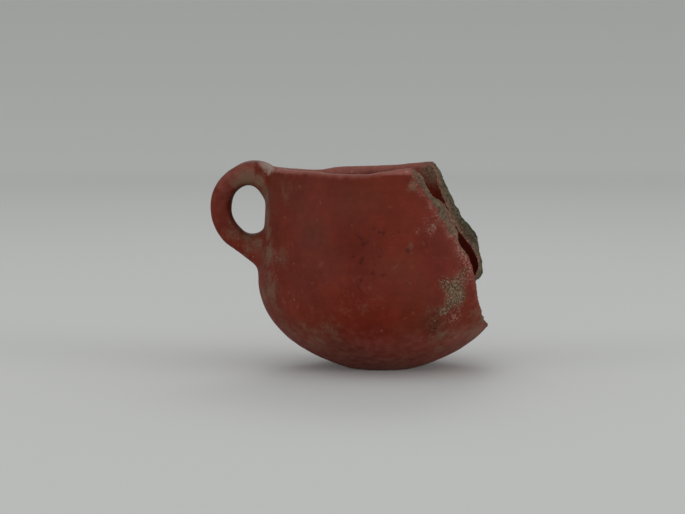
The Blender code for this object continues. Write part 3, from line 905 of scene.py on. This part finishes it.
# Where the coat was fired browner
BROWN = (
    (106.2, 52.5, 8.0, 0.7), (96.6, 53.5, 6.0, 0.6), (125.6, 42.8, 7.0, 0.75), (115.3, 37.2, 6.0, 0.4),
    (133.5, 49.5, 7.0, 0.6), (66.0, 17.8, 5.5, 0.95), (69.0, 22.0, 5.0, 0.65), (77.6, 24.0, 5.0, 0.45),
    (76.0, 15.0, 5.0, 0.5), (122.0, 9.5, 6.5, 0.75), (112.0, 7.0, 5.0, 0.55),
)

# Places on the handle and at the back corner of the break in mm, size in mm, strength
PLACED_SOIL = (
    ((-41.5, -4.2, 58.5), 3.6, 0.9), ((-45.0, -3.2, 57.0), 2.8, 0.8), ((-38.5, -4.6, 57.5), 3.0, 0.8),
    ((-47.0, -2.5, 53.5), 2.0, 0.7), ((-41.0, -4.0, 40.5), 3.0, 0.65), ((-38.5, -5.5, 38.5), 3.4, 0.7),
    ((-40.0, 3.0, 56.5), 4.4, 0.7), ((-46.5, 2.0, 41.0), 3.0, 0.5), ((-42.0, -4.4, 37.0), 2.6, 0.5),
    ((-46.0, -3.8, 42.5), 4.2, 0.58), ((-37.0, -8.0, 36.0), 4.0, 0.62), ((16.5, 28.0, 60.0), 5.2, 0.85),
)
PLACED_CHALK = (
    ((-35.0, -3.6, 61.9), 3.2, 1.0), ((-38.6, -3.4, 62.9), 1.6, 0.46), ((-36.0, 3.0, 62.4), 2.4, 0.8),
    ((-32.8, -5.0, 61.6), 1.6, 0.66),
)
PLACED_LOSS = (
    ((-42.0, -3.6, 35.2), 1.7, 0.4), ((-39.6, -4.6, 34.2), 1.5, 0.42), ((-41.5, 3.6, 36.4), 2.2, 0.46),
    ((16.5, 28.0, 60.0), 4.6, 0.52),
)

WALL_WEAR = {
    "loss": SLIP_LOSS, "stain": STAINS, "soil": SOIL, "chalk": CHALK, "speckle": SPECKLE, "brown": BROWN,
}
PLACED_WEAR = {"loss": PLACED_LOSS, "soil": PLACED_SOIL, "chalk": PLACED_CHALK}

# Clusters on the side that the camera doesn't see: how many, seed, range of sizes in mm, range of strengths
HIDDEN_WEAR = {
    "loss": (4, 5, (1.8, 3.6), (0.32, 0.62)),
    "soil": (5, 9, (3.0, 6.5), (0.30, 0.66)),
    "speckle": (3, 7, (1.0, 2.2), (0.4, 0.8)),
    "brown": (4, 13, (5.0, 8.0), (0.30, 0.55)),
    "stain": (5, 3, (0.9, 2.2), (0.4, 0.76)),
}
HIDDEN_ANGLES = (-165, -70)
HIDDEN_HEIGHTS = (9, 56)
CLUSTER = 4                         # patches in a cluster
CLUSTER_SPREAD = (3.4, 2.0)         # degrees and mm from one patch to the next

# More rows as on the wall: pink and grey parts of the break, and painted light low on the wall beside it, as
# lighter pink coat
PINK_BREAK = ((54.0, 42.5, 5.0, 0.55),)
GREY_BREAK = ((67.5, 51.5, 5.0, 0.50),)
LOW_PAINTED_LIGHT = ((28.0, 12.0, 9.0, 0.56), (46.0, 11.0, 9.0, 0.52))

# Wear, and painted light on the foot, that fades out upwards: strength, and the heights between which it
# fades
UNDER_SOIL = (0.62, 0.0002, 0.0028)
FOOT_SOIL = (0.32, 0.004, 0.013)
INSIDE_SOIL = (0.45, 0.006, 0.022)
# Painted light: the outside lighter pink low down, where little light reaches the underside of the belly
FOOT_PAINTED_LIGHT = (0.41, 0.009, 0.026)

# Other wear, and painted highlights, light and shade, that follow the shape
INSIDE_DEPTHS = (0.35, 0.70)        # shares of the wall between which the inside begins
FRINGE_REACH = 0.0012               # bare fringe of the coat along the break
FRINGE = (0.30, 0.10)               # its strength, and how much more high up
FRINGE_HEIGHTS = (0.040, 0.048)
EDGE_RUB = (0.48, 0.0042)           # strength and reach
EDGE_RUB_FRONT = (0, -0.010)        # between these Y, because only the front edge is rubbed
CORE_GREY = 0.75                    # soil on the outer part of the back edge
CORE_GREY_DEPTHS = (0.25, 0.75)
# Painted shade: the outside browner and darker high up, against the light from above
UPPER_PAINTED_SHADE = 0.22
UPPER_PAINTED_SHADE_HEIGHTS = (0.028, 0.052)
# Painted highlight along the crest of the lip and the top of the inside, in the pink of thinly rubbed coat
LIP_HIGHLIGHT = 0.86
LIP_HIGHLIGHT_REACH = (0.0044, 0.0016)    # down the inside and the outside
LIP_HIGHLIGHT_RADII = (0.0368, 0.0400)    # ends where the handle begins
# Painted highlight on the outer face of the handle, stronger near its lit top
HANDLE_HIGHLIGHT = (0.30, 0.22)           # all over, and more near the top
HANDLE_HIGHLIGHT_RADII = (0.0378, 0.0402)
HANDLE_HIGHLIGHT_HEIGHTS = (0.050, 0.062)
HANDLE_LOW = 0.030
GRIT_LOSS = (0.45, 0.75)            # losses between which sand begins to stand out
GRIT_SHARE = 0.55
COAT_EDGE = (0.40, 0.60)            # losses between which the coat ends
FOOT_FLAT = (0.0002, 0.0020)        # heights between which the burnish marks begin


def patches(points, spots):
    """Soft field of round patches: the strongest one that reaches a point wins."""
    field = np.zeros(len(points))
    for centre, size, strength in spots:
        gap = np.linalg.norm(points - np.array(centre), axis=1) / size
        field = np.maximum(field, strength * np.exp(-gap ** 2))
    return field


def wall_spots(rows):
    """Patches on the outside of the wall, in metres."""
    return [(on_wall(angle, height * MM), size * MM, strength) for angle, height, size, strength in rows]


def placed_spots(rows):
    """Patches at places off the wall, in metres."""
    return [([part * MM for part in place], size * MM, strength) for place, size, strength in rows]


def hidden_spots(count, seed, sizes, strengths):
    """Patches on the side that the camera doesn't see, of the same kinds as on the side it sees."""
    draw = np.random.default_rng(seed)
    rows = []
    for _ in range(count):
        angle, height = draw.uniform(*HIDDEN_ANGLES), draw.uniform(*HIDDEN_HEIGHTS)
        for _ in range(CLUSTER):
            size, strength = draw.uniform(*sizes), draw.uniform(*strengths)
            rows.append((angle, height, size, strength))
            angle += draw.normal(0, CLUSTER_SPREAD[0])
            height += draw.normal(0, CLUSTER_SPREAD[1])
    return wall_spots(rows)


def low_down(height, strength, full, none):
    """Field that is full up to one height and fades to nothing at another."""
    return strength * (1 - smoothstep(full, none, height))


def wall_depth(points, radius):
    """How deep each point lies in the wall, as a share of its thickness."""
    z = points[:, 2]
    section = KDTree(len(OUTSIDE))
    for i, (across, up) in enumerate(OUTSIDE):
        section.insert((across, up, 0), i)
    section.balance()
    gap = np.array([section.find((across, up, 0))[2] for across, up in zip(radius, z)])
    wall_radius = np.interp(z, OUTSIDE[:, 1], OUTSIDE[:, 0])
    return np.where(radius < wall_radius, gap / wall_at(z), 0)


def break_distance(mesh, points):
    """Which points lie on the broken clay, and how far each point is from the coat's broken edge."""
    core = np.zeros(len(points), dtype=bool)
    coat = np.zeros(len(points), dtype=bool)
    for face in mesh.polygons:
        (core if face.material_index else coat)[list(face.vertices)] = True
    border = np.flatnonzero(core & coat)
    edge = KDTree(len(border))
    for i in border:
        edge.insert(points[i], i)
    edge.balance()
    return core, np.array([edge.find(point)[2] for point in points])


def thin_coat_and_painted_light(points, radius, inside, away):
    """Pinkish field: coat rubbed thin along the broken edge in front, painted highlights on the crest of the
    lip and on the handle, and painted light on the foot and low beside the break.
    """
    x, y, z = points.T
    turn = np.degrees(np.arctan2(-y, x))
    back = dict(RIM_LINE)[-180]
    rows = np.array(sorted(RIM_LINE + ((180, back),)))
    drop = np.interp(turn, rows[:, 0], rows[:, 1]) * MM - z
    # Painted highlight on the crest of the lip, fading down the inside and the outside
    lip = LIP_HIGHLIGHT * np.exp(-np.maximum(drop, 0) / np.where(inside > 0.5, *LIP_HIGHLIGHT_REACH))
    lip *= 1 - smoothstep(*LIP_HIGHLIGHT_RADII, radius)
    # Painted highlight on the handle
    on_handle = smoothstep(*HANDLE_HIGHLIGHT_RADII, radius) * (x < 0) * (z > HANDLE_LOW)
    ridge_highlight = on_handle * (HANDLE_HIGHLIGHT[0] + HANDLE_HIGHLIGHT[1] * smoothstep(*HANDLE_HIGHLIGHT_HEIGHTS, z))
    # Painted light on the foot, outside only
    foot = low_down(z, *FOOT_PAINTED_LIGHT) * (1 - inside)
    edge = EDGE_RUB[0] * smoothstep(*EDGE_RUB_FRONT, y) * np.exp(-away / EDGE_RUB[1])
    # Painted light low beside the break; the strongest mark wins
    return np.maximum.reduce((lip, ridge_highlight, foot, edge, patches(points, wall_spots(LOW_PAINTED_LIGHT))))


def wear_fields(mesh):
    """Measure the cup and store where its coat is lost, soiled, chalky, scaly, brown, stained or rubbed, and
    where highlights, light and shade are painted.
    """
    points = coordinates(mesh)
    x, y, z = points.T
    radius = np.hypot(x, y)
    depth = wall_depth(points, radius)
    inside = smoothstep(*INSIDE_DEPTHS, depth)
    core, away = break_distance(mesh, points)
    fields = {"inside": inside, "depth": depth + patches(points, wall_spots(PINK_BREAK))}
    for name, rows in WALL_WEAR.items():
        spots = wall_spots(rows) + placed_spots(PLACED_WEAR.get(name, ()))
        if name in HIDDEN_WEAR:
            spots += hidden_spots(*HIDDEN_WEAR[name])
        fields[name] = patches(points, spots)

    fringe = FRINGE[0] + FRINGE[1] * smoothstep(*FRINGE_HEIGHTS, z)
    fringe *= np.exp(-away / FRINGE_REACH)
    loss = fields["loss"] = np.maximum(fringe, fields["loss"])
    fields["grit"] = GRIT_SHARE * (core + smoothstep(*GRIT_LOSS, loss))
    below = low_down(z, *UNDER_SOIL)
    foot = low_down(z, *FOOT_SOIL) * (1 - inside)
    within = low_down(z, *INSIDE_SOIL) * inside
    soil = np.maximum.reduce((fields["soil"], below, foot, within))
    grey = np.where(y > 0, CORE_GREY * (1 - smoothstep(*CORE_GREY_DEPTHS, depth)), 0)
    grey = np.maximum(grey, patches(points, wall_spots(GREY_BREAK)))
    fields["soil"] = np.where(core, grey, soil)
    # Painted shade high on the outside, joined to the browner patches
    upper = UPPER_PAINTED_SHADE * smoothstep(*UPPER_PAINTED_SHADE_HEIGHTS, z) * (1 - inside)
    fields["brown"] = np.maximum(fields["brown"], upper)
    fields["rub"] = thin_coat_and_painted_light(points, radius, inside, away)
    for name, values in fields.items():
        field = mesh.attributes.new(name, 'FLOAT', 'POINT')
        field.data.foreach_set("value", np.clip(values, 0, 1).astype(np.float32))
    weather(mesh, points, np.where(core, 0, loss))


def weather(mesh, points, loss):
    """Sink the bare patches below the coat, and leave the marks of hand burnishing on the rest."""
    normals = np.empty(len(points) * 3, dtype=np.float32)
    mesh.vertices.foreach_get("normal", normals)
    marks = np.zeros(len(points))
    for size, height in BURNISH:
        marks += height * np.array([noise.noise(Vector(point) / size) for point in points])
    marks *= smoothstep(*FOOT_FLAT, points[:, 2])
    marks -= COAT_DEPTH * smoothstep(*COAT_EDGE, loss)
    set_coordinates(mesh, points + marks[:, None] * normals.reshape(-1, 3))


# Build the pieces

slip = slip_material()

bowl_section = line_mesh("bowl_section", bowl_profile())
handle_line = line_mesh("handle_line", handle_path())
bowl = grown("turned_bowl", bowl_section, bowl_tree, {**BOWL_SIZES, "Clay": slip})
handle = grown("rolled_handle", handle_line, handle_tree, {**HANDLE_SIZES, "Clay": slip})
skin = fused("whole_cup", [bowl, handle])
smooth_skin(skin)
skin.materials.clear()
skin.materials.append(slip)
cup_mesh = broken(skin, break_cutter(core_material()))
wear_fields(cup_mesh)
low, high = np.array(cad_box)
set_coordinates(cup_mesh, np.clip(coordinates(cup_mesh), low, high))
cup_mesh.shade_smooth()
cup_mesh.set_sharp_from_angle(angle=math.radians(SHARP_ANGLE))
cup = add_object("red_slipped_cup", cup_mesh)

grain_mesh = grown("scattered_grit", cup_mesh.copy(), grit_tree, {**GRIT_SIZES, "Grit": grit_material()})
set_coordinates(grain_mesh, np.clip(coordinates(grain_mesh), low, high))
grains = add_object("sand_grains", grain_mesh)

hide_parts("cup_body", "handle", "upper_luting", "lower_luting")
for piece in (cup, grains):
    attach(piece, "root")


# Stage: pale seamless floor, soft light and the camera

FLOOR_MIDDLE = 0.40
FLOOR_RADIUS = 1.60
COVE_RADIUS = 1.60
COVE_TURN = 55.0
COVE_STEPS = 24
FLOOR_SIDES = 96
AIM = Vector((0, 0, 0.03))  # what the lamps face
CAMERA_PLACE = (-0.0122, -0.650, 0.083)
CAMERA_DIP = 4.3056         # degrees below level


def seamless_floor():
    """Round floor that curves up into a wall on all sides, so that no horizon shows from any angle."""
    turns = np.linspace(0, math.radians(COVE_TURN), COVE_STEPS)
    section = [(FLOOR_MIDDLE, 0), (FLOOR_RADIUS, 0)]
    for t in turns[1:]:
        section.append((FLOOR_RADIUS + COVE_RADIUS * math.sin(t), COVE_RADIUS * (1 - math.cos(t))))
    bm = bmesh.new()
    rings = []
    for radius, height in section:
        turned = [math.tau * i / FLOOR_SIDES for i in range(FLOOR_SIDES)]
        rings.append([bm.verts.new((radius * math.cos(t), radius * math.sin(t), height)) for t in turned])
    bm.faces.new(rings[0])
    for inner, outer in zip(rings, rings[1:]):
        for i in range(FLOOR_SIDES):
            j = (i + 1) % FLOOR_SIDES
            bm.faces.new((inner[i], outer[i], outer[j], inner[j]))
    mesh = bpy.data.meshes.new("seamless_floor")
    bm.to_mesh(mesh)
    bm.free()
    mesh.shade_smooth()
    # Matt paper with painted light and shade in its tone: a little darker under the cup and far up the wall,
    # lighter in the ring between
    material, add, place, shader = new_material("grey_paper_painted_falloff")
    far = add(VECTOR_MATH, (place,), out="Value", operation='LENGTH')
    far = add(MATH, (far, 2 * FLOOR_RADIUS), operation='DIVIDE')
    tone = add('ShaderNodeValToRGB', (far,), stops=((0.25, "#d0d1d0"), (0.55, "#dddfdd"), (0.75, "#cfd1cf")))
    fill(shader, {"Base Color": tone, "Roughness": 0.95, "Specular IOR Level": 0.1})
    mesh.materials.append(material)
    return add_object("seamless_floor", mesh)


def soft_light(name, place, width, height, watts, spread):
    """Broad lamp that faces the cup, with its light held within a spread in degrees."""
    lamp = bpy.data.lights.new(name, 'AREA')
    lamp.shape = 'RECTANGLE'
    lamp.size = width
    lamp.size_y = height
    lamp.energy = watts
    lamp.spread = math.radians(spread)
    item = bpy.data.objects.new(name, lamp)
    item.location = place
    item.rotation_euler = (AIM - Vector(place)).to_track_quat('-Z', 'Y').to_euler()
    bpy.context.scene.collection.objects.link(item)


seamless_floor()
soft_light("high_back", (0.0, 1.90, 1.40), 1.4, 0.80, 1.3, 60)
soft_light("low_left", (-1.15, -0.50, 0.15), 0.9, 0.28, 0.92, 60)
soft_light("low_right", (1.15, -0.50, 0.15), 0.9, 0.28, 1.18, 60)
soft_light("low_front", (0.00, -1.25, 0.11), 2.0, 0.20, 2.95, 100)

scene = bpy.context.scene
world = bpy.data.worlds.new("studio_air")
world.use_nodes = True
sky = world.node_tree.nodes["Background"]
fill(sky, {"Color": linear("#f2f3f2"), "Strength": 0.60})
scene.world = world
scene.view_settings.view_transform = 'Standard'

lens = bpy.data.cameras.new("camera")
lens.sensor_width = 36.0
lens.lens = 110.36          # 2100 pixels for an image 685 pixels wide
camera = bpy.data.objects.new("camera", lens)
camera.location = CAMERA_PLACE
camera.rotation_euler = (math.radians(90 - CAMERA_DIP), 0, 0)
scene.collection.objects.link(camera)
scene.camera = camera
